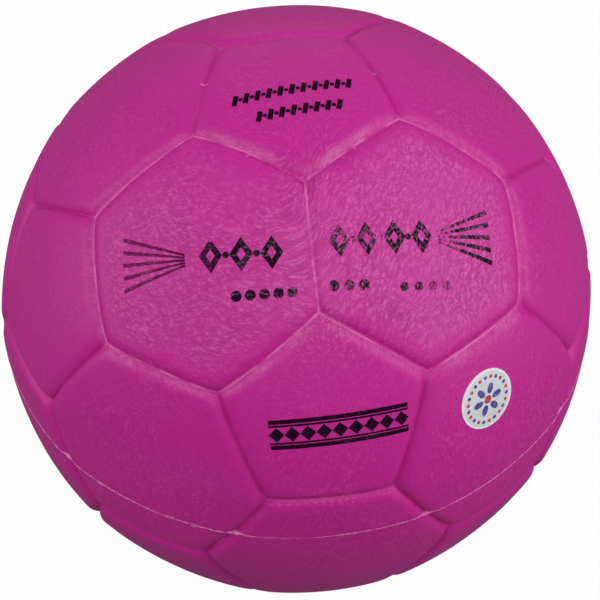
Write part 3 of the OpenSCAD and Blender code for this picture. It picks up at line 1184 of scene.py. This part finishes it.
class HANDBALL_OT_stage(bpy.types.Operator):
    """Sets the pale floor, the soft studio lamps and the camera"""

    bl_idname = "handball.stage"
    bl_label = "Stage"

    def execute(self, context):
        t = context.scene.handball_stage
        self.make_floor(context)
        self.make_world(context, t)
        axes = self.camera_axes(t)
        self.make_camera(context, t, axes)
        for name, shares in LAMPS.items():
            place = sum((axis * share for axis, share in zip(axes, shares)), Vector())
            self.make_lamp(name + "_lamp", place, getattr(t, name + "_power"))
        self.make_lamp("back_lamp", BACK_LAMP, t.back_power)
        return {"FINISHED"}

    def camera_axes(self, t):
        """The directions to the right, up, and back from the ball to the camera."""
        ca, sa = math.cos(t.azimuth), math.sin(t.azimuth)
        ce, se = math.cos(t.elevation), math.sin(t.elevation)
        back = Vector((sa * ce, -ca * ce, se))
        level = Vector((ca, sa, 0))
        rise = back.cross(level)
        right = level * math.cos(t.roll) + rise * math.sin(t.roll)
        up = rise * math.cos(t.roll) - level * math.sin(t.roll)
        return right, up, back

    def make_camera(self, context, t, axes):
        data = bpy.data.cameras.new("photo_camera")
        data.sensor_width = 36
        data.lens = t.lens
        data.shift_x = CAMERA_SHIFT_X
        data.shift_y = CAMERA_SHIFT_Y
        data.clip_start = 0.01
        data.clip_end = 50
        camera = add_object("photo_camera", data)
        turn = Matrix(axes).transposed().to_4x4()
        camera.matrix_world = Matrix.Translation(axes[2] * t.distance) @ turn
        context.scene.camera = camera

    def make_lamp(self, name, place, power):
        data = bpy.data.lights.new(name, "AREA")
        data.shape = "DISK"
        data.size = LAMP_D
        data.energy = power
        lamp = add_object(name, data)
        lamp.location = place
        lamp.rotation_mode = "QUATERNION"
        lamp.rotation_quaternion = place.to_track_quat("Z", "Y")

    def make_world(self, context, t):
        world = bpy.data.worlds.new("studio_air")
        world.use_nodes = True
        world.node_tree.nodes.clear()
        add = partial(add_node, world.node_tree)
        ray = add("LightPath").outputs
        mirrored = ray["Is Glossy Ray"], ray["Is Transmission Ray"]
        mirrored = add("Math", mirrored, operation="MAXIMUM")
        seen = add("Math", (mirrored, t.sky_glint, ray["Is Camera Ray"]), operation="MULTIPLY_ADD")
        strength = add("Mix", (seen, t.sky, 1))
        add("OutputWorld", {"Surface": add("Background", (WHITE, strength))})
        context.scene.world = world

    def make_floor(self, context):
        bm = bmesh.new()
        bmesh.ops.create_grid(bm, x_segments=8, y_segments=8, size=FLOOR_REACH)
        below = (0, 0, -context.scene.handball_skin.ball_d / 2)
        bmesh.ops.translate(bm, verts=bm.verts, vec=below)
        add_mesh("floor", bm, floor_material(context.scene.handball_colours))


def floor_material(c):
    """Matt backdrop paper: seen white, with only a faint shadow."""
    material, add = new_material("matt_backdrop_paper")
    paper = add("BsdfDiffuse", (c.floor,))
    glow = add("Emission", (WHITE, FLOOR_GLOW))
    seen = add("LightPath").outputs["Is Camera Ray"]
    share = add("Math", (seen, FLOOR_GLOW_SHARE), **TIMES)
    add("OutputMaterial", {"Surface": add("MixShader", (share, paper, glow))})
    return material


OPERATORS = (
    HANDBALL_OT_skin, HANDBALL_OT_marks, HANDBALL_OT_prints, HANDBALL_OT_sticker,
    HANDBALL_OT_valve, HANDBALL_OT_stage,
)


class HANDBALL_PT_sidebar(bpy.types.Panel):
    """Lists the ball's sizes, colours and pieces"""

    bl_label = "Handball"
    bl_idname = "HANDBALL_PT_sidebar"
    bl_space_type = "VIEW_3D"
    bl_region_type = "UI"
    bl_category = "Handball"

    def draw(self, context):
        for operator in OPERATORS:
            self.layout.operator(operator.bl_idname)
        for holder, group in SETTINGS.items():
            box = self.layout.box()
            for name in group.__annotations__:
                box.prop(getattr(context.scene, holder), name)


SETTINGS = {
    "handball_skin": HandballSkinSizes,
    "handball_trim": HandballTrimSizes,
    "handball_grain": HandballGrainSizes,
    "handball_colours": HandballColours,
    "handball_stage": HandballStage,
}


def register():
    for cls in (*SETTINGS.values(), *OPERATORS, HANDBALL_PT_sidebar):
        bpy.utils.register_class(cls)
    for name, group in SETTINGS.items():
        setattr(bpy.types.Scene, name, PointerProperty(type=group))


def unregister():
    for name in SETTINGS:
        delattr(bpy.types.Scene, name)
    for cls in reversed((*SETTINGS.values(), *OPERATORS, HANDBALL_PT_sidebar)):
        bpy.utils.unregister_class(cls)


def main():
    register()
    bpy.ops.handball.skin()
    bpy.ops.handball.marks()
    bpy.ops.handball.prints()
    bpy.ops.handball.sticker()
    bpy.ops.handball.valve()
    bpy.ops.handball.stage()
    bpy.context.scene.view_settings.view_transform = "Standard"


if __name__ == "__main__":
    main()
